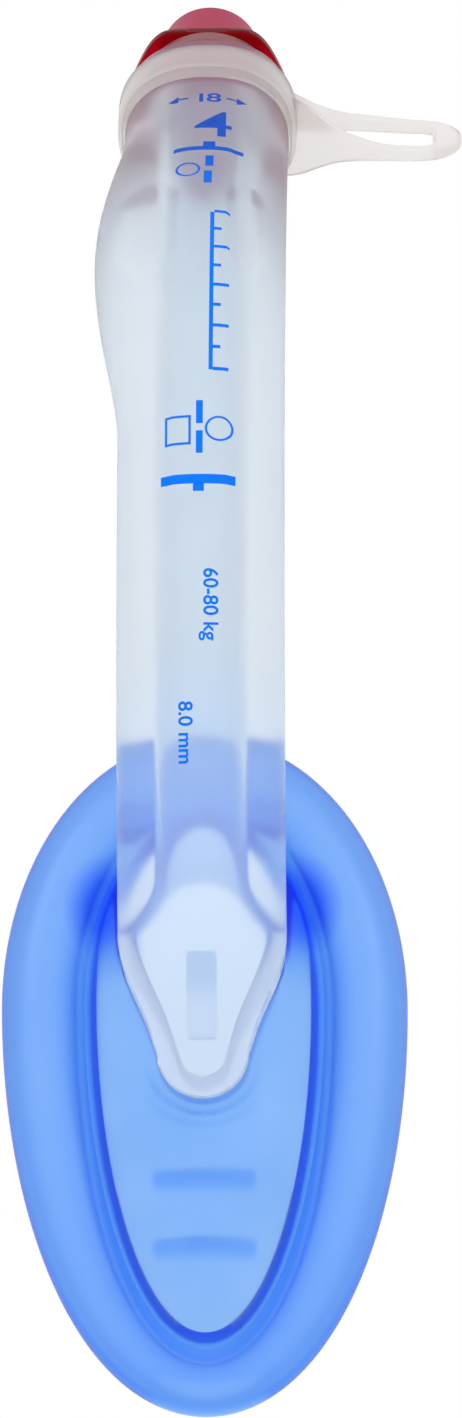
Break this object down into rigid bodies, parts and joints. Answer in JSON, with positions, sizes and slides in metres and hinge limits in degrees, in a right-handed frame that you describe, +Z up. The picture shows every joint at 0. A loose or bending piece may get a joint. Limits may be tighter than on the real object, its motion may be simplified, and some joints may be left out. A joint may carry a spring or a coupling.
{
  "type": "laryngeal mask airway",
  "caption": "Curved clear airway tube with a blue cuffed mask at one end and a red 15 mm connector on a tether at the other.",
  "frame": {"origin": "middle of the part's footprint on the surface that it rests on, with the mask's tip and the connector's rim down", "axes": "+Y from the mask's tip to the connector, +Z up, +X to the side of the tether"},
  "size_m": [0.0681, 0.2418, 0.0693],
  "materials": {
    "clear_silicone": "clear glossy silicone",
    "blue_silicone": "translucent satin silicone",
    "blue_plate": "translucent satin silicone",
    "ramp_silicone": "translucent satin silicone",
    "red_plastic": "translucent gloss plastic",
    "milky_silicone": "milky satin silicone"
  },
  "bodies": {
    "airway": {"airway_tube": "clear_silicone", "mask_cuff": "blue_silicone", "bowl_plate": "blue_plate", "ramp_tongue": "ramp_silicone", "tether": "milky_silicone"},
    "connector": {"connector": "red_plastic"}
  },
  "joints": [
    {"name": "connector_pull", "type": "slide", "parent": "airway", "child": "connector", "axis": [0, 0.8197, -0.5728], "range_m": [0, 0.03], "deforming": ["tether"]}
  ]
}
